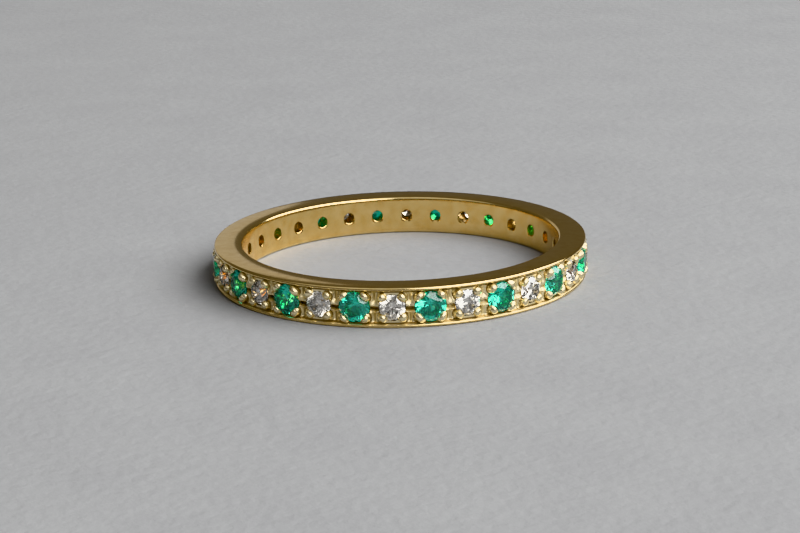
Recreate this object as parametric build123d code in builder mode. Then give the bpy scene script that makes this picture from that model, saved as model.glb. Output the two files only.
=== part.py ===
"""A stackable eternity ring, in millimetres: a gold band bead-set all the way round with
emeralds and diamonds in turn.

The ring lies on its flat side. The origin is the centre of that side, +Z runs along the
finger hole, and emerald_01 points along +X.
"""

from collections import namedtuple
import math
import os

from build123d import *

# The band.
bore_diameter = 17.0  # the finger hole
rail_diameter = 20.0  # over the two polished rails that edge the face
band_width = 2.1
rail_width = 0.15
rail_bevel = 0.06  # the bright-cut slope from a rail down to the floor
floor_depth = 0.14  # from the rails down to the floor between them
bore_round = 0.15  # comfort rounding at both ends of the finger hole
rail_round = 0.06

# The stones: pairs of one emerald and one diamond, evenly spaced.
pair_count = 16
seat_gap = 0.02  # between a stone and the metal around it
girdle_sink = 0.03  # how far a girdle's middle lies below the floor
azure_diameter = 0.62  # the light hole drilled under each stone into the finger hole

# The beads that hold each stone, one at each corner.
bead_radius = 0.20
bead_root = 0.30  # how far a bead is rooted below the girdle
bead_stand = 0.05  # how far a bead's top stands above the table

# The two V-shaped cuts in the web of metal between two neighbours.
notch_width = 0.28  # the one along the finger hole, at the floor
notch_depth = 0.22
notch_end = 0.04  # how far it stops short of the rails' slopes
groove_width = 0.30  # the one from seat to seat, round the band
groove_depth = 0.20
groove_reach = 0.26  # to each side of the web's middle
overshoot = 0.02  # how far both start outside the metal that they remove

# One row for each kind of stone. Its beads' centres stand bead_around to each side of
# the stone's centre, measured round the band, and bead_across along the finger hole.
Kind = namedtuple("Kind", "name girdle_diameter place bead_around bead_across")
kinds = [
    Kind("emerald", 1.60, 0, 0.57, 0.57),
    Kind("diamond", 1.35, 1, 0.50, 0.56),
]

# Proportions of a round brilliant, as shares of its girdle diameter.
girdle_share = 0.03
table_share = 0.57
crown_angle = 34.5
pavilion_angle = 40.8
star_reach = 0.38  # from the stone's axis to the tips of the star facets
lower_reach = 0.09  # from the axis to the inner tips of the lower girdle facets
girdle_sides = 16

bore_radius = bore_diameter / 2
rail_radius = rail_diameter / 2
floor_radius = rail_radius - floor_depth
girdle_radius = floor_radius - girdle_sink  # from the ring's axis to a girdle's middle
middle = band_width / 2
pair_angle = 360 / pair_count
place_angle = pair_angle / len(kinds)
main_half_angle = 360 / 8 / 2  # half the turn between two main facets


def tan(degrees):
    return math.tan(math.radians(degrees))


def cos(degrees):
    return math.cos(math.radians(degrees))


def face_plane(angle, radius):
    """The plane tangent to the band at that angle: x round it, y along +Z, z outwards."""
    outwards = Vector(1, 0, 0).rotate(Axis.Z, angle)
    around = Vector(0, 1, 0).rotate(Axis.Z, angle)
    origin = outwards * radius + Vector(0, 0, middle)
    return Plane(origin=origin, x_dir=around, z_dir=outwards)


def crown_height(diameter):
    """From the top of the girdle to the table."""
    return diameter / 2 * (1 - table_share) * tan(crown_angle)


def star_height(diameter):
    """From the top of the girdle to the tips of the star facets."""
    return (diameter / 2 - star_reach * diameter * cos(main_half_angle)) * tan(crown_angle)


def pavilion_drop(diameter, reach):
    """From the bottom of the girdle down to a main pavilion facet, reach from the axis."""
    return (diameter / 2 - reach) * tan(pavilion_angle)


def facet_cut(first, second, third):
    """The plane through three corners of a facet, facing away from the stone's middle."""
    normal = (second - first).cross(third - first).normalized()
    if normal.dot(first) < 0:
        normal = -normal
    return Plane(origin=first, z_dir=normal)


def corner(radius, degrees, height):
    """A corner of the stone, in the stone's own frame."""
    return Vector(radius, 0, height).rotate(Axis.Z, degrees)


def brilliant(kind):
    """A round brilliant with its table towards +Z and its girdle's middle at z = 0.

    Each facet is one flat cut through three of its corners, worked round the stone in
    tiers: star, main and upper girdle facets above, main and lower girdle facets below.
    """
    diameter = kind.girdle_diameter
    radius = diameter / 2
    half_girdle = girdle_share * diameter / 2
    table_height = half_girdle + crown_height(diameter)
    star_tip = half_girdle + star_height(diameter)
    lower_tip_radius = lower_reach * diameter
    lower_tip = -half_girdle - pavilion_drop(diameter, lower_tip_radius * cos(main_half_angle))
    culet = -half_girdle - pavilion_drop(diameter, 0)

    cuts = []
    for main in range(8):
        at = main * 2 * main_half_angle
        between = at + main_half_angle
        table_corner = corner(table_share * radius, at, table_height)
        next_table_corner = corner(table_share * radius, at + 2 * main_half_angle, table_height)
        star = corner(star_reach * diameter, between, star_tip)
        star_before = corner(star_reach * diameter, at - main_half_angle, star_tip)
        low = corner(lower_tip_radius, between, lower_tip)
        low_before = corner(lower_tip_radius, at - main_half_angle, lower_tip)
        cuts.append(facet_cut(table_corner, next_table_corner, star))
        cuts.append(facet_cut(corner(radius, at, half_girdle), star_before, star))
        cuts.append(facet_cut(corner(radius, at, -half_girdle), low_before, low))
        for side in (at, at + 2 * main_half_angle):
            upper = corner(radius, side, half_girdle)
            lower = corner(radius, side, -half_girdle)
            cuts.append(facet_cut(upper, corner(radius, between, half_girdle), star))
            cuts.append(facet_cut(lower, corner(radius, between, -half_girdle), low))

    with BuildPart() as stone:
        with BuildSketch(Plane.XY.offset(culet)):
            RegularPolygon(radius, girdle_sides)
        extrude(amount=table_height - culet)
        for cut in cuts:
            split(bisect_by=cut, keep=Keep.BOTTOM)
    return stone.part


def seat(kind):
    """What is cut away for a stone: the stone's own outline and a gap all round it."""
    diameter = kind.girdle_diameter
    half_girdle = girdle_share * diameter / 2
    wide = diameter / 2 + seat_gap
    top = half_girdle + seat_gap
    bottom = -half_girdle - seat_gap
    above = top + crown_height(diameter) + bead_stand + bead_radius
    with BuildPart() as cutter:
        with BuildSketch(Plane.XZ):
            with BuildLine():
                Polyline(
                    (0, bottom - pavilion_drop(diameter, 0)),
                    (wide, bottom),
                    (wide, top),
                    (star_reach * diameter + seat_gap, top + star_height(diameter)),
                    (table_share * diameter / 2, top + crown_height(diameter)),
                    (table_share * diameter / 2, above),
                    (0, above),
                    close=True,
                )
            make_face()
        revolve(axis=Axis.Z)
    return cutter.part


def bead(kind):
    """A round post with a domed top, standing at the origin of the stone's girdle plane."""
    half_girdle = girdle_share * kind.girdle_diameter / 2
    shoulder = half_girdle + crown_height(kind.girdle_diameter) + bead_stand - bead_radius
    with BuildPart() as post:
        with BuildSketch(Plane.XZ):
            with BuildLine():
                Line((0, -bead_root), (bead_radius, -bead_root))
                Line((bead_radius, -bead_root), (bead_radius, shoulder))
                CenterArc((0, shoulder), bead_radius, 0, 90)
                Line((0, shoulder + bead_radius), (0, -bead_root))
            make_face()
        revolve(axis=Axis.Z)
    return post.part


def web_cut():
    """The notch and the groove that cross in the web between two neighbours."""
    notch_reach = middle - rail_width - rail_bevel - notch_end
    with BuildPart() as cutter:
        for plane, width, depth, reach in (
            (Plane.XZ, notch_width, notch_depth, notch_reach),
            (Plane.YZ, groove_width, groove_depth, groove_reach),
        ):
            with BuildSketch(plane):
                with BuildLine():
                    Polyline(
                        (-width / 2, overshoot),
                        (0, -depth),
                        (width / 2, overshoot),
                        close=True,
                    )
                make_face()
            extrude(amount=reach, both=True)
    return cutter.part


def stone_angles(kind):
    """Where the stones of one kind sit round the band, in the order of their numbers."""
    return [kind.place * place_angle + n * pair_angle for n in range(pair_count)]


def cell_half_angle(kind):
    """Half the stretch of band that belongs to one stone, out to the middle of the webs."""
    mean = sum(k.girdle_diameter for k in kinds) / len(kinds)
    share = (kind.girdle_diameter - mean) / 2 / floor_radius
    return place_angle / 2 + math.degrees(share)


def band_section():
    """The band's section through rails and floor, with its edges rounded."""
    floor_edge = rail_width + rail_bevel
    with BuildSketch(Plane.XZ) as section:
        with BuildLine():
            Polyline(
                (bore_radius, 0),
                (rail_radius, 0),
                (rail_radius, rail_width),
                (floor_radius, floor_edge),
                (floor_radius, band_width - floor_edge),
                (rail_radius, band_width - rail_width),
                (rail_radius, band_width),
                (bore_radius, band_width),
                close=True,
            )
        make_face()
        ends = section.vertices().group_by(Axis.X)
        fillet(ends[0], bore_round)
        outer_corners = ends[-1].sort_by(Axis.Y)
        fillet([outer_corners[0], outer_corners[-1]], rail_round)
    return section.sketch


def cell(kind):
    """The stretch of band round one stone at +X: its beads, its seat and half of each web."""
    half_angle = cell_half_angle(kind)
    place = face_plane(0, girdle_radius)
    with BuildPart() as stretch:
        add(band_section().rotate(Axis.Z, -half_angle))
        revolve(axis=Axis.Z, revolution_arc=2 * half_angle)
        with Locations(place):
            with GridLocations(2 * kind.bead_around, 2 * kind.bead_across, 2, 2):
                add(bead(kind))
        with Locations(*[face_plane(end * half_angle, floor_radius) for end in (-1, 1)]):
            add(web_cut(), mode=Mode.SUBTRACT)
        with Locations(place):
            add(seat(kind), mode=Mode.SUBTRACT)
    return stretch.part


def set_band():
    """The whole band: one cell for each stone, joined end to end, and the light holes."""
    with BuildPart() as ring:
        for kind in kinds:
            stretch = cell(kind)
            with Locations(*[Location((0, 0, 0), (0, 0, a)) for a in stone_angles(kind)]):
                add(stretch)
        for kind in kinds:
            with Locations(*[face_plane(a, girdle_radius) for a in stone_angles(kind)]):
                Hole(azure_diameter / 2, depth=girdle_radius - bore_radius + bore_round)
    return ring.part


def write(part, name):
    part.label = name
    export_step(part, f"parts/{name}.step")


os.makedirs("parts", exist_ok=True)
write(set_band(), "band")
for kind in kinds:
    stone = brilliant(kind)
    for n, angle in enumerate(stone_angles(kind), start=1):
        place = face_plane(angle, girdle_radius)
        write(stone.moved(place.location), f"{kind.name}_{n:02d}")
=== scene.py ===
"""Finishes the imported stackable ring: the worked gold band, its beads, emeralds and diamonds.

The ring lies on a plain pale floor. Sizes are in metres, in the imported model's own frame:
the origin is the centre of the side that the ring lies on, and +Z runs along the finger hole.
"""

from collections import namedtuple
import math
import random

import bmesh
import bpy
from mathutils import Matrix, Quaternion, Vector
import numpy as np


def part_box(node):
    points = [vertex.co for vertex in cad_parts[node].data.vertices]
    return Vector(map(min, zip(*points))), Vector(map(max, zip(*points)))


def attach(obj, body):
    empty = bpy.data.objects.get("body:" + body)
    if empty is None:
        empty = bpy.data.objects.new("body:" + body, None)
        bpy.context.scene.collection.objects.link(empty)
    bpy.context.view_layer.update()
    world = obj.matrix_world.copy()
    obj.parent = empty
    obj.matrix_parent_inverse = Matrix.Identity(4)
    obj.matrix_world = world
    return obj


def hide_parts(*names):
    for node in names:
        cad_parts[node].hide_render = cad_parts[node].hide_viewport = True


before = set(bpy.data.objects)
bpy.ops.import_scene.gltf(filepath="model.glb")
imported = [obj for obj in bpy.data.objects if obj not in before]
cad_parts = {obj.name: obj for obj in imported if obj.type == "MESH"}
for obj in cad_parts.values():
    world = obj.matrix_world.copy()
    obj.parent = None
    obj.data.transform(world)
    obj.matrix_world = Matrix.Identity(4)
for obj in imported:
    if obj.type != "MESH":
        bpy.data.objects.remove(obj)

bpy.context.view_layer.update()

MM = 0.001
WORKSHOP_SEED = 27

# The band, apart from what its packed box gives.
BORE_RADIUS = 8.5 * MM
RAIL_RADIUS = 10.0 * MM
FLOOR_RADIUS = 9.86 * MM  # the engraved floor between the rails
RAIL_WIDTH = 0.15 * MM
RAIL_SLOPE = 0.06 * MM  # the bright-cut slope from a rail down to the floor
RAIL_ROUND = 0.115 * MM
BORE_ROUND = 0.15 * MM
BORE_STRIP = 0.12 * MM  # the plain strip of the bore beside each rounding

# The stones' cut, and their seats with the light holes behind them.
TABLE_SHARE = 0.57
GIRDLE_SHARE = 0.03
CROWN_ANGLE = math.radians(34.5)
PAVILION_ANGLE = math.radians(40.8)
SEAT_GAP = 0.02 * MM
RIM_DROP = 0.012 * MM  # the bright-cut rim of a seat, below the floor
LIGHT_HOLE_RADIUS = 0.31 * MM
LIGHT_HOLE_EASE = 0.02 * MM  # how far its rim in the bore is eased

# The engraver's cuts in the webs between two stones.
NOTCH_WIDTH = 0.42 * MM
NOTCH_DEPTH = 0.23 * MM
NOTCH_SHALLOWS = 0.18  # the share of that depth left in the bar between its two pits
BAR_TOP = 0.11 * MM  # where the bar starts to slope into the upper pit
BAR_SLOPE = 0.30 * MM
BAR_BOTTOM = -0.27 * MM  # and where it drops into the lower one
BAR_DROP = 0.10 * MM
SLOT_TOP = 0.05 * MM
SLOT_LIP = 0.034 * MM  # how wide its upper edge is
SLOT_ROOT = -0.12 * MM  # where it starts to slope up again
SLOT_FOOT = -0.28 * MM  # and where it ends
SLOT_DEPTH = 0.33 * MM
GOUGE_REACH = 0.27 * MM  # from a bead's middle to the bottom of the cut round it
GOUGE_WIDTH = 0.075 * MM
GOUGE_DEPTH = 0.15 * MM
CUT_EASE = 0.16  # the share of a cut over which its brink is eased
CUT_RUNOUT = 0.09 * MM  # over which the cuts end at the rails' feet
CUT_FADE = 0.8  # how much shallower the cuts are on the side across from DEEP_TURN
DEEP_TURN = math.radians(-140)

# The wobble of the engraver's hand: waves that run round the band and slant across it.
HAND_WOBBLE = 0.005 * MM
HAND_WAVES = 9
WAVES_ROUND = (70, 420)
WAVE_SLANT = 45  # in radians for each millimetre across
ANY_START = 6.3  # a full turn, for where a wave starts

# The beads of each kind of stone: how far round the band and across it they stand, how far
# a bead spreads at its foot, and how near it comes to the stone's middle, in stone radii.
Setting = namedtuple("Setting", "around across skirt bite")
SETTINGS = {
    "emerald": Setting(0.56 * MM, 0.57 * MM, 1.6, 0.84),
    "diamond": Setting(0.51 * MM, 0.55 * MM, 1.3, 0.85),
}
BEAD_SIDES = 24
BEAD_BLUNT = 2.9  # how square its outline is along the stone's edge; 2 is round
BEAD_ROUND = 2.1  # and on the far side
BEAD_GAP = 0.012 * MM  # between a bead and its stone
BEAD_DOME = (0, 0.3, 0.5, 0.67, 0.81, 0.92)  # the rings of its dome, in shares of its reach
BEAD_ROOT = 0.16 * MM  # how far a bead is rooted below the top of the girdle
# A bead's sides, from the dome down: how much wider it is towards the stone, its share of
# the skirt's spread, and its height, as a share of the way up from the girdle.
BeadRing = namedtuple("BeadRing", "wider spread level")
BEAD_FLANKS = (BeadRing(1.03, 0.35, 0.55), BeadRing(1.08, 0.75, 0.28), BeadRing(1.16, 1.0, 0.02))

# How finely the band is meshed: the steps round the band and the rows across it, of one
# stone's cell. The rows are shares of the way from the floor's middle to its edge, and
# stand closest where the slot cuts the web.
TURN_STEPS = 20
SLOT_ROWS = (-0.31, -0.26, -0.21, -0.17, -0.13, -0.09, -0.04, 0.01, 0.036, 0.053, 0.07, 0.09)
ROWS = (
    (-1, -0.92, -0.83, -0.74, -0.65, -0.56, -0.47, -0.41, -0.36)
    + SLOT_ROWS
    + (0.12, 0.16, 0.21, 0.25, 0.29, 0.33, 0.39, 0.47, 0.56, 0.65, 0.74, 0.83, 0.92)
)
# The rings of points between a cell's edge and its seat, then down the seat, and then from
# the light hole out to the cell's edge in the bore, in shares of the way.
FLOOR_SHARES = (0, 0.05, 0.10, 0.16, 0.23, 0.31, 0.40, 0.50, 0.60, 0.70, 0.80, 0.89, 0.96)
SEAT_SHARES = (0, 0.5, 1)
BORE_SHARES = (0, 0.05, 0.25, 0.5, 0.75, 1)
BAND_WELD = 0.0004 * MM
BEAD_WELD = 0.0002 * MM
BAND_CRISP = math.radians(38)  # edges that turn more than this are shaded crisp
BEAD_CRISP = math.radians(60)

# Each gold's two tones: where it is clear, and where it is hazy.
RAIL_GOLD = ((0.96, 0.755, 0.395, 1), (0.87, 0.655, 0.305, 1))
BORE_GOLD = ((0.94, 0.685, 0.305, 1), (0.84, 0.575, 0.22, 1))
WORKED_GOLD = ((0.96, 0.845, 0.565, 1), (0.90, 0.775, 0.48, 1))
# Painted shade: the dark gold laid into the deep cuts, the creases at the rails' feet and the
# beads' feet.
PAINTED_SHADE_GOLD = (0.27, 0.185, 0.08, 1)

# The lines that a tool leaves: how deep they are, and how close they come on the level,
# upright and outwards.
ToolLines = namedtuple("ToolLines", "depth level upright outwards")
LAPPED = ToolLines(0.0006 * MM, 250, 9000, 9000)
LATHED = ToolLines(0.0025 * MM, 220, 11000, 2000)
GRAVED = ToolLines(0.004 * MM, 9000, 1500, 2000)
BURNISHED = ToolLines(0.003 * MM, 5000, 2500, 2500)

# A gold's finish: gloss is its plain roughness, haze what the cloth's cloudy marks add to it
# and wear how deep they are. Painted shade gives the radius where the painted shade in the
# hollows starts to darken the gold, and the one where it is darkest.
GoldFinish = namedtuple("GoldFinish", "name tones gloss haze wear lines tarnish")
POLISHED = GoldFinish("gold_polished", RAIL_GOLD, 0.10, 0.04, 0.0006 * MM, LAPPED, None)
TURNED = GoldFinish("gold_turned", BORE_GOLD, 0.12, 0.12, 0.003 * MM, LATHED, None)
# The worked golds carry painted shade: darker deeper in the cuts and low on the beads.
ENGRAVED = GoldFinish(
    "gold_engraved", WORKED_GOLD, 0.36, 0.12, 0.006 * MM, GRAVED, (9.75 * MM, 9.58 * MM)
)
BEADED = GoldFinish(
    "gold_beaded", WORKED_GOLD, 0.23, 0.10, 0.006 * MM, BURNISHED, (9.90 * MM, 9.74 * MM)
)
BAND_GOLDS = (POLISHED, TURNED, ENGRAVED)
BEAD_GOLDS = (BEADED,)

# A stone's finish: its colour where it is clear and in its clouds, how much it bends the
# light, the share of the light that passes into it, and its roughness, clear and cloudy.
StoneFinish = namedtuple("StoneFinish", "name clear cloudy index through gloss cloud_gloss")
STONE_FINISHES = {
    "emerald": StoneFinish(
        "emerald_green", (0.03, 0.74, 0.52, 1), (0.18, 0.90, 0.76, 1), 1.66, 0.93, 0.03, 0.07
    ),
    "diamond": StoneFinish(
        "diamond_white", (0.97, 0.945, 0.895, 1), (0.85, 0.825, 0.78, 1), 2.4, 1.0, 0.07, 0.18
    ),
}

FLOOR_REACH = 3.0
FLOOR_TONES = ((0.278, 0.281, 0.290, 1), (0.298, 0.302, 0.310, 1))

# The room's own tones, and the soft panels of light in it: how far each is turned from
# straight ahead to the right and lifted, in degrees, how far off it is, its size and glow.
ROOM_DARK = (0.050, 0.040, 0.030, 1)
ROOM_PALE = (0.25, 0.24, 0.23, 1)
ROOM_BEHIND = (0.135, 0.12, 0.10, 1)
ROOM_ROOF = (0.50, 0.49, 0.47, 1)
Panel = namedtuple("Panel", "name turn lift away width height glow colour")
PANELS = (
    Panel("window", 63, 45, 0.8, 1.64, 0.70, 5.6, (1.0, 0.998, 0.985)),
    Panel("ceiling", -55, 60, 0.8, 0.90, 0.36, 0.28, (1.0, 0.99, 0.97)),
    Panel("back_card", -170, 15, 0.8, 0.42, 0.30, 0.30, (1.0, 0.95, 0.88)),
)

CAMERA_TURN = math.radians(-8.5)
CAMERA_AWAY = 122.6 * MM
CAMERA_HEIGHT = 35.2 * MM
CAMERA_AIM = (0.0, 0.0, 1.91 * MM)
CAMERA_ROLL = math.radians(-1.45)
CAMERA_LENS = 106.0
CAMERA_SHIFT = (0.0, -0.034)


def smoothstep(x):
    """A soft step, from 0 where x is 0 to 1 where x is 1."""
    x = np.clip(x, 0.0, 1.0)
    return x * x * (3.0 - 2.0 * x)


# ---------------------------------------------------------------- the stones' places


class Stone:
    """Where one packed stone sits, read from its mesh."""

    def __init__(self, name):
        low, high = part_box(name)
        points = np.array([v.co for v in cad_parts[name].data.vertices])
        middle = points.mean(axis=0)
        self.name = name
        self.kind = name.split("_")[0]
        self.setting = SETTINGS[self.kind]
        self.angle = math.atan2(middle[1], middle[0])
        self.outwards = np.array([math.cos(self.angle), math.sin(self.angle), 0.0])
        self.around = np.array([-math.sin(self.angle), math.cos(self.angle), 0.0])
        self.mid_height = (low.z + high.z) / 2
        self.radius = (high.z - low.z) / 2
        self.half_girdle = GIRDLE_SHARE * self.radius
        self.crown = self.radius * (1 - TABLE_SHARE) * math.tan(CROWN_ANGLE)
        self.table = self.half_girdle + self.crown
        self.girdle = (points @ self.outwards).max() - self.table

    def place(self, x, y, z):
        """Points given round the band, across it and out from the girdle's plane."""
        x, y, z = np.broadcast_arrays(x, y, z)
        out = (self.girdle + z)[..., None] * self.outwards
        return out + x[..., None] * self.around + (self.mid_height + y)[..., None] * [0, 0, 1]


def stones_in_turn():
    """All the stones, in their order round the band."""
    stones = [Stone(n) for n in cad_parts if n.startswith(tuple(SETTINGS))]
    return sorted(stones, key=lambda stone: stone.angle)


def turn_to_web(stone, neighbour):
    """The turn from a stone's middle to the middle of the web beside it."""
    turn = abs(math.remainder(neighbour.angle - stone.angle, 2 * math.pi))
    web = turn - (stone.radius + neighbour.radius) / FLOOR_RADIUS
    return stone.radius / FLOOR_RADIUS + web / 2


# ---------------------------------------------------------------- the band's mesh


class Sheet:
    """Points and quads that are gathered for one mesh, with a slot for each of its golds."""

    def __init__(self, golds):
        self.golds = golds
        self.points = []
        self.quads = []
        self.slots = []
        self.count = 0

    def join_rings(self, rings, gold):
        """Lays quads of one gold between each closed ring of points and the next."""
        slot = self.golds.index(gold)
        size = len(rings[0])
        self.points.extend(rings)
        for row in range(len(rings) - 1):
            a = self.count + row * size
            b = a + size
            for i in range(size):
                j = (i + 1) % size
                self.quads.append((a + i, a + j, b + j, b + i))
                self.slots.append(slot)
        self.count += size * len(rings)

    def mesh(self, name, weld):
        mesh = bpy.data.meshes.new(name)
        mesh.from_pydata(np.concatenate(self.points).tolist(), [], self.quads)
        mesh.polygons.foreach_set("material_index", self.slots)
        worker = bmesh.new()
        worker.from_mesh(mesh)
        bmesh.ops.remove_doubles(worker, verts=worker.verts, dist=weld)
        bmesh.ops.recalc_face_normals(worker, faces=worker.faces)
        worker.to_mesh(mesh)
        worker.free()
        return mesh


def on_cylinder(angle, radius, height):
    """Points given by their turn round the ring's axis, their radius and their height."""
    angle, radius, height = np.broadcast_arrays(angle, radius, height)
    return np.stack([radius * np.cos(angle), radius * np.sin(angle), height], axis=-1)


def square_edge():
    """Points from -1 to 1 round a square's edge, from its lower left corner."""
    t = np.arange(TURN_STEPS) / TURN_STEPS * 2 - 1
    rows = np.array(ROWS)
    back_rows = np.append(1.0, rows[:0:-1])
    end, side = np.ones(TURN_STEPS), np.ones(len(rows))
    u = np.concatenate([t, side, -t, -side])
    v = np.concatenate([-end, rows, end, back_rows])
    return u, v


def eased(share):
    """A V-shaped cut's share of its depth, with its brink eased."""
    run_in = np.clip(share + CUT_EASE, 0, None) ** 2 / (4 * CUT_EASE)
    return np.minimum(np.where(share > CUT_EASE, share, run_in), 1.0)


def notch_cut(to_web, row):
    """The depth of the notch along a web's middle: two pits with a bar between them."""
    above, below = (row - BAR_TOP) / BAR_SLOPE, (BAR_BOTTOM - row) / BAR_DROP
    off_bar = smoothstep(np.maximum(above, below))
    deep = NOTCH_SHALLOWS + (1 - NOTCH_SHALLOWS) * off_bar
    return NOTCH_DEPTH * deep * eased(1 - to_web / (NOTCH_WIDTH / 2))


def slot_cut(row):
    """The depth of the slot under that bar, which runs from seat to seat."""
    under_bar = smoothstep((SLOT_TOP - row) / SLOT_LIP + 0.5)
    return SLOT_DEPTH * under_bar * eased((row - SLOT_FOOT) / (SLOT_ROOT - SLOT_FOOT))


def gouge_cut(setting, x, y):
    """The depth of the crescent cuts that free the beads on their side away from the stone."""
    off_x, off_y = np.abs(x) - setting.around, np.abs(y) - setting.across
    to_bead = np.hypot(off_x, off_y)
    away = smoothstep(0.5 + off_x / np.maximum(to_bead, 0.01 * MM))
    return GOUGE_DEPTH * away * np.exp(-(((to_bead - GOUGE_REACH) / GOUGE_WIDTH) ** 2))


class Engraving:
    """The cuts in the floor between the rails, and the wobble of the hand that made them."""

    def __init__(self, floor_edge, draw):
        self.floor_edge = floor_edge
        self.waves = []
        for _ in range(HAND_WAVES):
            turns = draw.randrange(*WAVES_ROUND)
            slant = draw.uniform(-WAVE_SLANT, WAVE_SLANT) / MM
            self.waves.append((turns, slant, draw.uniform(0, ANY_START)))

    def wobble(self, angle, y):
        total = 0
        for turns, slant, start in self.waves:
            total = total + np.sin(turns * angle + slant * y + start)
        return HAND_WOBBLE * total / math.sqrt(HAND_WAVES)

    def height(self, stone, angle, x, y, to_web, row):
        """How far the floor lies off its round at a place; row is its place in the web."""
        inner = smoothstep((self.floor_edge - np.abs(y)) / CUT_RUNOUT)
        bite = 1 - CUT_FADE * (1 - (0.5 + 0.5 * np.cos(angle - DEEP_TURN)) ** 2)
        notch = notch_cut(to_web, row) * inner * bite
        slot = slot_cut(row) * bite
        gouge = gouge_cut(stone.setting, x, y) * inner
        # The deepest cut counts, with the corners where two of them meet eased.
        cuts = np.clip(np.stack([notch, slot, gouge]) / MM, 0, None)
        return self.wobble(angle, y) * inner - (cuts**4).sum(axis=0) ** 0.25 * MM


def cell_rings(stone, back, ahead, engraving, band_middle, bore_edge):
    """One stone's stretch of band: the floor round its seat, the seat, and the bore behind."""
    u, v = square_edge()
    half = (back + ahead) / 2
    shift = (ahead - back) / 2
    wide = stone.radius + SEAT_GAP
    edge_x = (u * half + shift) * FLOOR_RADIUS
    edge_y = v * engraving.floor_edge
    turn = np.arctan2(edge_y, edge_x)
    rim_x, rim_y = wide * np.cos(turn), wide * np.sin(turn)
    lowest = stone.girdle - stone.half_girdle - 0.5 * SEAT_GAP

    # The floor, from the cell's edge in to the seat's bright-cut rim.
    floor = []
    for share in FLOOR_SHARES + (1,):
        x = edge_x + (rim_x - edge_x) * share
        y = edge_y + (rim_y - edge_y) * share
        to_web = np.minimum(x + back * FLOOR_RADIUS, ahead * FLOOR_RADIUS - x)
        angle = stone.angle + x / FLOOR_RADIUS
        radius = FLOOR_RADIUS + engraving.height(stone, angle, x, y, to_web, edge_y)
        if share == 1:
            radius = np.maximum(radius - RIM_DROP, lowest)
        floor.append(on_cylinder(angle, radius, band_middle + y))

    # The seat's wall and its cone down to the light hole.
    bottom = -stone.half_girdle - SEAT_GAP
    seat = [floor[-1]]
    for share in SEAT_SHARES:
        reach = wide + (LIGHT_HOLE_RADIUS - wide) * share
        z = bottom - (wide - reach) * math.tan(PAVILION_ANGLE)
        seat.append(stone.place(reach * np.cos(turn), reach * np.sin(turn), z))

    # The light hole and the bore around it.
    hole_x, hole_y = LIGHT_HOLE_RADIUS * np.cos(turn), LIGHT_HOLE_RADIUS * np.sin(turn)
    hole_turn = np.arcsin(hole_x / BORE_RADIUS)
    edge_turn = u * half + shift
    bore = [seat[-1]]
    for share in BORE_SHARES:
        angle = stone.angle + hole_turn * (1 - share) + edge_turn * share
        y = hole_y * (1 - share) + v * (bore_edge - BORE_STRIP) * share
        ease = LIGHT_HOLE_EASE if share == 0 else 0.0
        bore.append(on_cylinder(angle, BORE_RADIUS + ease, band_middle + y))
    return floor, seat, bore


def rail_profile(floor_edge, half_width):
    """The bright-cut slope from the floor's edge, and the rail over to the flat side."""
    rail_inner = half_width - RAIL_WIDTH
    # The cut's foot and top are eased, and the rail's inner edge is broken.
    slope = [
        (FLOOR_RADIUS, floor_edge),
        (FLOOR_RADIUS + 0.02 * MM, floor_edge + 0.014 * MM),
        (RAIL_RADIUS - 0.025 * MM, rail_inner - 0.012 * MM),
    ]
    broken_edge = [
        (RAIL_RADIUS - 0.008 * MM, rail_inner + 0.004 * MM),
        (RAIL_RADIUS, rail_inner + 0.022 * MM),
    ]
    rail = slope[-1:] + broken_edge
    for degrees in (0, 30, 60, 90):
        turn = math.radians(degrees)
        radius = RAIL_RADIUS - RAIL_ROUND * (1 - math.cos(turn))
        rail.append((radius, half_width - RAIL_ROUND * (1 - math.sin(turn))))
    return slope, rail


def side_profile(half_width, bore_edge):
    """The section from the flat side's outer edge over the comfort rounding to the bore."""
    points = [(RAIL_RADIUS - RAIL_ROUND, half_width)]
    for degrees in (90, 68, 45, 22, 0):
        turn = math.radians(degrees)
        radius = BORE_RADIUS + BORE_ROUND * (1 - math.cos(turn))
        points.append((radius, bore_edge + BORE_ROUND * math.sin(turn)))
    return points


def band_mesh(stones, draw):
    """The worked band: a cell for each stone, and the rails, flat sides and rounded bore."""
    low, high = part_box("band")
    half_width = (high.z - low.z) / 2
    band_middle = (high.z + low.z) / 2
    floor_edge = half_width - RAIL_WIDTH - RAIL_SLOPE
    bore_edge = half_width - BORE_ROUND
    engraving = Engraving(floor_edge, draw)
    sheet = Sheet(BAND_GOLDS)
    columns = []
    for i, stone in enumerate(stones):
        back = turn_to_web(stone, stones[i - 1])
        ahead = turn_to_web(stone, stones[(i + 1) % len(stones)])
        floor, seat, bore = cell_rings(stone, back, ahead, engraving, band_middle, bore_edge)
        sheet.join_rings(floor, ENGRAVED)
        sheet.join_rings(seat, POLISHED)
        sheet.join_rings(bore, TURNED)
        steps = np.arange(TURN_STEPS) / TURN_STEPS
        columns.append(stone.angle - back + (back + ahead) * steps)
    angles = np.concatenate(columns)
    slope, rail = rail_profile(floor_edge, half_width)
    profiles = (
        (slope, ENGRAVED),
        (rail, POLISHED),
        (side_profile(half_width, bore_edge), POLISHED),
        ([(BORE_RADIUS, bore_edge), (BORE_RADIUS, bore_edge - BORE_STRIP)], TURNED),
    )
    for side in (-1, 1):
        for profile, gold in profiles:
            rows = [on_cylinder(angles, radius, band_middle + side * y) for radius, y in profile]
            sheet.join_rings(rows, gold)
    return sheet.mesh("band_worked", BAND_WELD)


# ---------------------------------------------------------------- the beads


def bead_outline(turn, inward, outward, along):
    """A bead seen from outside: round on its far side, blunt along the stone's edge."""
    near, side = np.cos(turn), np.sin(turn)
    blunt = np.where(near > 0, BEAD_BLUNT, BEAD_ROUND)
    deep = np.where(near > 0, inward, outward)
    reach = (np.abs(near / deep) ** blunt + np.abs(side / along) ** blunt) ** (-1 / blunt)
    return reach * near, reach * side


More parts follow.
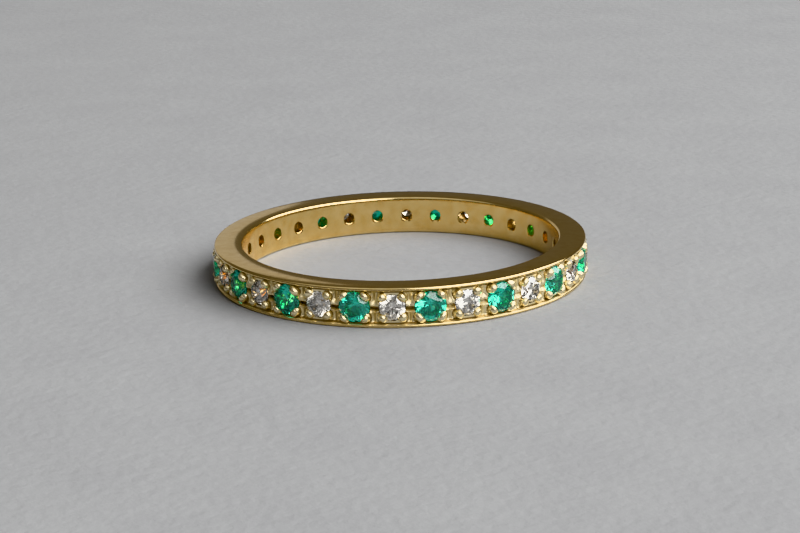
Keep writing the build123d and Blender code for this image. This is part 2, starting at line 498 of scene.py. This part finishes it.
def bead_profile(skirt, top, foot, dome):
    """A bead's rings from its top down: its share towards the stone and to the sides of
    its outline, and its height."""
    profile = [(share, share, top - dome * share**2.4) for share in BEAD_DOME]
    profile.append((1.0, 1.0, top - dome * 1.12))
    for ring in BEAD_FLANKS:
        sides = 1 + (skirt - 1) * ring.spread
        profile.append((ring.wider, sides, foot + (top - foot) * ring.level))
    # The root in the floor, closed at its end.
    for share in (1, 0):
        profile.append((1.2 * share, skirt * 1.02 * share, foot - BEAD_ROOT))
    return profile


def bead_rings(stone, side_x, side_y, draw):
    """One bead: a drop of gold, rooted in the floor and pressed over the stone's edge."""
    setting = stone.setting
    middle_x = side_x * setting.around * draw.uniform(0.97, 1.04)
    middle_y = side_y * setting.across * draw.uniform(0.97, 1.03)
    away = math.hypot(middle_x, middle_y)
    in_x, in_y = -middle_x / away, -middle_y / away
    inward = away - setting.bite * draw.uniform(0.97, 1.03) * stone.radius
    outward = draw.uniform(0.16, 0.195) * MM
    along = draw.uniform(0.175, 0.215) * MM
    dome = draw.uniform(0.08, 0.12) * MM
    foot = stone.half_girdle
    top = stone.table + draw.uniform(0.0, 0.045) * MM
    lean = draw.uniform(0.01, 0.04) * MM
    tilt = draw.uniform(-0.12, 0.12)
    turn = np.arange(BEAD_SIDES) / BEAD_SIDES * 2 * math.pi
    lumps = 1 + draw.uniform(0.01, 0.05) * np.cos(3 * turn + draw.uniform(0, ANY_START))
    out_near, out_side = bead_outline(turn, inward, outward, along)
    rings = []
    for deep, wide, height in bead_profile(setting.skirt, top, foot, dome):
        near, side = out_near * deep * lumps, out_side * wide * lumps
        near = near + lean * max(height - foot, 0.0) / (top - foot)
        x = middle_x + near * in_x - side * in_y
        y = middle_y + near * in_y + side * in_x
        z = height + tilt * side * (height > foot)
        rings.append(over_stone(stone, x, y, z))
    return rings


def over_stone(stone, x, y, z):
    """Moves a bead's points out of its stone: up onto the crown or out to the girdle."""
    reach = np.hypot(x, y)
    wide = stone.radius + BEAD_GAP
    crown = stone.half_girdle + BEAD_GAP + (wide - reach) * math.tan(CROWN_ANGLE)
    inside = (reach < wide) & (z < crown)
    near_crown = crown - z < 1.3 * (wide - reach) + 0.01 * MM
    lift = inside & near_crown
    z = np.where(lift, crown, z)
    push = np.where(inside & ~lift, wide / np.maximum(reach, 0.01 * MM), 1.0)
    return stone.place(x * push, y * push, z)


def beads_mesh(stones, draw):
    """Four beads at the corners of each stone."""
    sheet = Sheet(BEAD_GOLDS)
    for stone in stones:
        for side_x in (-1, 1):
            for side_y in (-1, 1):
                sheet.join_rings(bead_rings(stone, side_x, side_y, draw), BEADED)
    return sheet.mesh("beads_worked", BEAD_WELD)


# ---------------------------------------------------------------- nodes


NUMBER, COLOUR, VECTOR = "NodeSocketFloat", "NodeSocketColor", "NodeSocketVector"


def put(tree, kind, inputs=None, **settings):
    """Adds a node, with its settings and with values or links for its inputs."""
    node = tree.nodes.new(kind)
    for name, value in settings.items():
        setattr(node, name, value)
    for name, value in (inputs or {}).items():
        if isinstance(value, bpy.types.NodeSocket):
            tree.links.new(value, node.inputs[name])
        else:
            node.inputs[name].default_value = value
    return node


def new_group(name, inputs, outputs):
    """Starts a group of nodes; returns its tree, and the sockets inside it."""
    tree = bpy.data.node_groups.new(name, "ShaderNodeTree")
    for label, kind, value in inputs:
        socket = tree.interface.new_socket(label, in_out="INPUT", socket_type=kind)
        if value is not None:
            socket.default_value = value
    for label, kind in outputs:
        tree.interface.new_socket(label, in_out="OUTPUT", socket_type=kind)
    start = tree.nodes.new("NodeGroupInput")
    end = tree.nodes.new("NodeGroupOutput")
    return tree, start.outputs, end.inputs


def place_group(tree, group, inputs):
    """Places a group of nodes with its own values; returns what it puts out."""
    return put(tree, "ShaderNodeGroup", inputs, node_tree=group).outputs


def maths(tree, operation, *values):
    """A value worked out from others."""
    node = put(tree, "ShaderNodeMath", dict(enumerate(values)), operation=operation)
    return node.outputs["Value"]


def share_between(tree, value, start, end, interpolation="SMOOTHSTEP"):
    """How far a value is on its way from start to end, from 0 to 1."""
    inputs = {"Value": value, "From Min": start, "From Max": end}
    node = put(tree, "ShaderNodeMapRange", inputs, interpolation_type=interpolation)
    return node.outputs["Result"]


def blend(tree, share, first, second):
    """The first colour where the share is 0, and the second where it is 1."""
    inputs = {"Factor": share, "A": first, "B": second}
    return put(tree, "ShaderNodeMix", inputs, data_type="RGBA").outputs["Result"]


def noise(tree, place, scale, detail, roughness=0.5):
    """Uneven patches; scale is how many there are in a metre."""
    inputs = {"Vector": place, "Scale": scale, "Detail": detail, "Roughness": roughness}
    return put(tree, "ShaderNodeTexNoise", inputs).outputs["Fac"]


def bump(tree, height, depth, under=None):
    """Marks of that depth, on top of any that lie under them."""
    inputs = {"Height": height, "Strength": 1.0, "Distance": depth}
    if under is not None:
        inputs["Normal"] = under
    return put(tree, "ShaderNodeBump", inputs).outputs["Normal"]


def height_and_radius(tree, place):
    """A place's height, and how far it is from the ring's axis."""
    split = put(tree, "ShaderNodeSeparateXYZ", {"Vector": place}).outputs
    level = put(tree, "ShaderNodeCombineXYZ", {"X": split["X"], "Y": split["Y"]})
    radius = put(tree, "ShaderNodeVectorMath", {0: level.outputs["Vector"]}, operation="LENGTH")
    return split["Z"], radius.outputs["Value"]


# ---------------------------------------------------------------- effects and materials


def hand_polish_group():
    """Cloudy haze and fine wandering marks that a polishing cloth leaves on metal."""
    tree, given, made = new_group(
        "hand_polish",
        [("Place", VECTOR, None), ("Gloss", NUMBER, 0.1), ("Haze", NUMBER, 0.1)],
        [("Roughness", NUMBER), ("Height", NUMBER), ("Mask", NUMBER)],
    )
    cloud = noise(tree, given["Place"], 1900, 3)
    fine = noise(tree, given["Place"], 7500, 2)
    hazy = share_between(tree, cloud, 0.35, 0.72, "LINEAR")
    rough = maths(tree, "MULTIPLY_ADD", hazy, given["Haze"], given["Gloss"])
    tree.links.new(rough, made["Roughness"])
    tree.links.new(hazy, made["Mask"])
    tree.links.new(maths(tree, "MULTIPLY_ADD", fine, 0.35, cloud), made["Height"])
    return tree


def tool_lines_group():
    """The fine lines that a lathe, a lap or a graver leaves, closest the way it was fed."""
    tree, given, made = new_group(
        "tool_lines",
        [
            ("Place", VECTOR, None),
            ("Level Scale", NUMBER, 300),
            ("Upright Scale", NUMBER, 300),
            ("Radius Scale", NUMBER, 300),
        ],
        [("Height", NUMBER)],
    )
    level, upright = given["Level Scale"], given["Upright Scale"]
    scales = put(tree, "ShaderNodeCombineXYZ", {"X": level, "Y": level, "Z": upright})
    stretched = put(
        tree,
        "ShaderNodeVectorMath",
        {0: given["Place"], 1: scales.outputs["Vector"]},
        operation="MULTIPLY",
    )
    _, radius = height_and_radius(tree, given["Place"])
    fed = maths(tree, "MULTIPLY", radius, given["Radius Scale"])
    lines = put(
        tree,
        "ShaderNodeTexNoise",
        {"Vector": stretched.outputs["Vector"], "W": fed, "Scale": 1, "Detail": 2},
        noise_dimensions="4D",
    )
    tree.links.new(lines.outputs["Fac"], made["Height"])
    return tree


def recess_shade_group():
    """Painted shade: a mask that darkens the gold deep in the cuts, and along the feet of the
    rails.
    """
    tree, given, made = new_group(
        "recess_shade",
        [
            ("Place", VECTOR, None),
            ("Unshaded Radius", NUMBER, 9.84 * MM),
            ("Dark Radius", NUMBER, 9.68 * MM),
            ("Middle", NUMBER, 1.05 * MM),
            ("Rail Foot", NUMBER, 0.82 * MM),
        ],
        [("Mask", NUMBER)],
    )
    # Painted shade: darkest deepest in the cuts and in the crease at each rail's foot.
    height, radius = height_and_radius(tree, given["Place"])
    deep = share_between(tree, radius, given["Unshaded Radius"], given["Dark Radius"])
    across = maths(tree, "ABSOLUTE", maths(tree, "SUBTRACT", height, given["Middle"]))
    off_foot = maths(tree, "ABSOLUTE", maths(tree, "SUBTRACT", across, given["Rail Foot"]))
    line = share_between(tree, off_foot, 0.075 * MM, 0.02 * MM)
    low = share_between(tree, radius, 9.95 * MM, 9.885 * MM)
    foot = maths(tree, "MULTIPLY", line, low)
    tree.links.new(maths(tree, "MAXIMUM", deep, foot), made["Mask"])
    return tree


def stone_clouds_group():
    """Faint clouds and flecks inside a stone."""
    tree, given, made = new_group(
        "stone_clouds",
        [
            ("Place", VECTOR, None),
            ("Clear", COLOUR, (1, 1, 1, 1)),
            ("Cloudy", COLOUR, (1, 1, 1, 1)),
        ],
        [("Color", COLOUR), ("Mask", NUMBER)],
    )
    flecks = noise(tree, given["Place"], 2600, 4, 0.6)
    mask = share_between(tree, flecks, 0.42, 0.68, "LINEAR")
    tree.links.new(blend(tree, mask, given["Clear"], given["Cloudy"]), made["Color"])
    tree.links.new(mask, made["Mask"])
    return tree


def new_material(name, **plain):
    """Starts a material; the plain values are the same all over the surface."""
    material = bpy.data.materials.new(name)
    material.use_nodes = True
    tree = material.node_tree
    surface = tree.nodes["Principled BSDF"]
    for label, value in plain.items():
        surface.inputs[label.replace("_", " ")].default_value = value
    place = tree.nodes.new("ShaderNodeTexCoord").outputs["Object"]
    return material, tree, surface, place


def gold_material(gold, polish_group, lines_group, shade_mask_group):
    """Yellow gold with one of the finishes: its polish, its tool lines and any painted shade in
    its hollows.
    """
    material, tree, surface, place = new_material(gold.name, Metallic=1.0)
    polish = place_group(
        tree, polish_group, {"Place": place, "Gloss": gold.gloss, "Haze": gold.haze}
    )
    lines = place_group(
        tree,
        lines_group,
        {
            "Place": place,
            "Level Scale": gold.lines.level,
            "Upright Scale": gold.lines.upright,
            "Radius Scale": gold.lines.outwards,
        },
    )
    marks = bump(tree, polish["Height"], gold.wear)
    marks = bump(tree, lines["Height"], gold.lines.depth, marks)
    tone = blend(tree, polish["Mask"], *gold.tones)
    # Painted shade: darkens the gold deep in the cuts and in the creases at the rails' and beads'
    # feet.
    if gold.tarnish:
        unshaded, dark = gold.tarnish
        recess_shade = place_group(
            tree, shade_mask_group, {"Place": place, "Unshaded Radius": unshaded, "Dark Radius": dark}
        )
        tone = blend(tree, recess_shade["Mask"], tone, PAINTED_SHADE_GOLD)
    tree.links.new(tone, surface.inputs["Base Color"])
    tree.links.new(polish["Roughness"], surface.inputs["Roughness"])
    tree.links.new(marks, surface.inputs["Normal"])
    return material


def stone_material(finish, clouds_group):
    """A cut stone: its own colour, with faint clouds in it."""
    material, tree, surface, place = new_material(
        finish.name,
        Metallic=0.0,
        IOR=finish.index,
        Transmission_Weight=finish.through,
        Specular_IOR_Level=1.0,
    )
    clouds = place_group(
        tree, clouds_group, {"Place": place, "Clear": finish.clear, "Cloudy": finish.cloudy}
    )
    rough = put(
        tree,
        "ShaderNodeMapRange",
        {"Value": clouds["Mask"], "To Min": finish.gloss, "To Max": finish.cloud_gloss},
    )
    tree.links.new(clouds["Color"], surface.inputs["Base Color"])
    tree.links.new(rough.outputs["Result"], surface.inputs["Roughness"])
    return material


def floor_material():
    """Pale matt paper: a little mottled, with a soft tooth."""
    material, tree, surface, place = new_material(
        "pale_floor", Roughness=0.9, Specular_IOR_Level=0.2
    )
    mottle = share_between(tree, noise(tree, place, 170, 6, 0.62), 0.3, 0.7, "LINEAR")
    tree.links.new(blend(tree, mottle, *FLOOR_TONES), surface.inputs["Base Color"])
    tooth = bump(tree, noise(tree, place, 1500, 3), 0.06 * MM)
    tree.links.new(tooth, surface.inputs["Normal"])
    return material


# ---------------------------------------------------------------- the pieces


def add_piece(mesh, materials, crisp):
    """Adds a mesh to the scene, shaded smooth but for its crisp edges."""
    piece = bpy.data.objects.new(mesh.name, mesh)
    bpy.context.scene.collection.objects.link(piece)
    for material in materials:
        mesh.materials.append(material)
    mesh.shade_smooth()
    mesh.set_sharp_from_angle(angle=crisp)
    even = piece.modifiers.new("even_shading", "WEIGHTED_NORMAL")
    even.keep_sharp = True
    return piece


def dress_ring():
    """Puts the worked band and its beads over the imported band, and finishes the stones."""
    draw = random.Random(WORKSHOP_SEED)
    stones = stones_in_turn()
    effects = (hand_polish_group(), tool_lines_group(), recess_shade_group())
    band_golds = [gold_material(gold, *effects) for gold in BAND_GOLDS]
    bead_golds = [gold_material(gold, *effects) for gold in BEAD_GOLDS]
    band = add_piece(band_mesh(stones, draw), band_golds, BAND_CRISP)
    beads = add_piece(beads_mesh(stones, draw), bead_golds, BEAD_CRISP)
    for piece in (band, beads):
        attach(piece, "root")
        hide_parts("band")
    clouds = stone_clouds_group()
    cut = {kind: stone_material(finish, clouds) for kind, finish in STONE_FINISHES.items()}
    for stone in stones:
        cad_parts[stone.name].data.materials[0] = cut[stone.kind]


# ---------------------------------------------------------------- floor, light and camera


def lay_floor():
    mesh = bpy.data.meshes.new("floor")
    reach = FLOOR_REACH
    corners = [(-reach, -reach, 0), (reach, -reach, 0), (reach, reach, 0), (-reach, reach, 0)]
    mesh.from_pydata(corners, [], [(0, 1, 2, 3)])
    mesh.materials.append(floor_material())
    floor = bpy.data.objects.new("floor", mesh)
    bpy.context.scene.collection.objects.link(floor)


def light_room():
    """A dim room: dark at the horizon, paler up and to the front, with a bright roof."""
    world = bpy.data.worlds.new("room")
    bpy.context.scene.world = world
    world.use_nodes = True
    tree = world.node_tree
    way = tree.nodes.new("ShaderNodeTexCoord")
    split = put(tree, "ShaderNodeSeparateXYZ", {"Vector": way.outputs["Generated"]}).outputs
    up = share_between(tree, split["Z"], 0.08, 0.5)
    front = share_between(tree, split["Y"], 0.9, -0.4)
    tone = blend(tree, maths(tree, "MULTIPLY", up, front), ROOM_DARK, ROOM_PALE)
    tone = blend(tree, share_between(tree, split["Y"], 0.2, 0.95), tone, ROOM_BEHIND)
    tone = blend(tree, share_between(tree, split["Z"], 0.84, 0.98), tone, ROOM_ROOF)
    room = tree.nodes["Background"]
    tree.links.new(tone, room.inputs["Color"])
    room.inputs["Strength"].default_value = 1.0


def hang_panel(panel):
    """A soft panel of light that faces the ring."""
    turn, lift = math.radians(panel.turn), math.radians(panel.lift)
    level = panel.away * math.cos(lift)
    place = Vector((level * math.sin(turn), -level * math.cos(turn), panel.away * math.sin(lift)))
    lamp = bpy.data.lights.new(panel.name, "AREA")
    lamp.shape = "RECTANGLE"
    lamp.size, lamp.size_y = panel.width, panel.height
    lamp.energy = panel.glow * math.pi * panel.width * panel.height
    lamp.color = panel.colour
    hung = bpy.data.objects.new(panel.name, lamp)
    hung.location = place
    hung.rotation_mode = "QUATERNION"
    hung.rotation_quaternion = place.to_track_quat("Z", "Y")
    bpy.context.scene.collection.objects.link(hung)


def set_camera():
    """Looks down at the ring's face from just above it."""
    lens = bpy.data.cameras.new("camera")
    lens.sensor_width = 36
    lens.lens = CAMERA_LENS
    lens.shift_x, lens.shift_y = CAMERA_SHIFT
    lens.clip_start, lens.clip_end = 1 * MM, 10
    camera = bpy.data.objects.new("camera", lens)
    place = Vector((math.sin(CAMERA_TURN), -math.cos(CAMERA_TURN), 0)) * CAMERA_AWAY
    place.z = CAMERA_HEIGHT
    camera.location = place
    camera.rotation_mode = "QUATERNION"
    look = (place - Vector(CAMERA_AIM)).to_track_quat("Z", "Y")
    camera.rotation_quaternion = look @ Quaternion((0, 0, 1), CAMERA_ROLL)
    bpy.context.scene.collection.objects.link(camera)
    bpy.context.scene.camera = camera


bpy.context.scene.view_settings.view_transform = "Khronos PBR Neutral"
dress_ring()
lay_floor()
light_room()
for panel in PANELS:
    hang_panel(panel)
set_camera()

bpy.context.view_layer.update()
